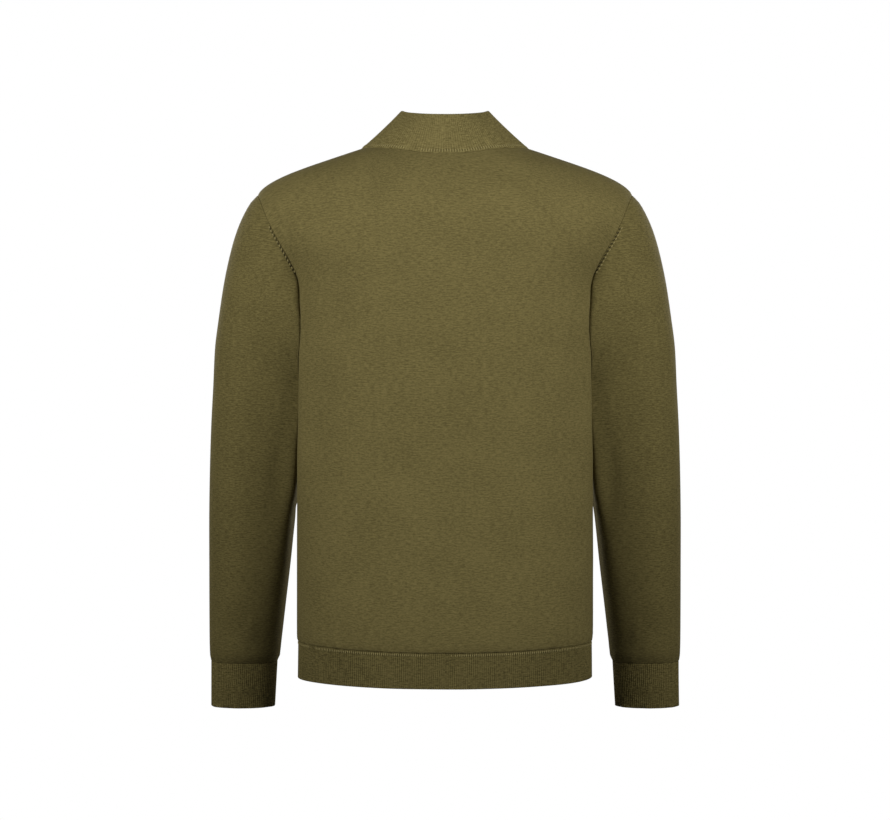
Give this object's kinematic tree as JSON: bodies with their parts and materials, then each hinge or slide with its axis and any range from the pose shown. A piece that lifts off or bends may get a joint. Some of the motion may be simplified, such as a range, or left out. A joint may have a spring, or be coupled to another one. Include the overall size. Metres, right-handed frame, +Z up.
{
  "type": "turtleneck sweater",
  "caption": "Fine-gauge knitted sweater with a stand-up ribbed collar, set-in long sleeves, ribbed cuffs and ribbed hem, filled out and hollow as when worn.",
  "frame": {"origin": "middle of the neck, level with the high points of the shoulders, where the wearer's neck and shoulders hold the garment", "axes": "+Z up, the front faces -Y, the back +Y, and the wearer's left side is +X"},
  "size_m": [0.6364, 0.2757, 0.7889],
  "materials": {
    "body_knit": "matt fine wool jersey, olive melange",
    "sleeve_knit": "matt fine wool jersey, olive melange",
    "band_rib": "matt fine wool rib, olive",
    "collar_rib": "matt fine wool rib, double, olive"
  },
  "bodies": {
    "root": {"back": "body_knit", "front": "body_knit", "sleeve_left": "sleeve_knit", "sleeve_right": "sleeve_knit", "cuff_left": "band_rib", "cuff_right": "band_rib", "hem_band": "band_rib", "collar": "collar_rib"}
  },
  "joints": []
}
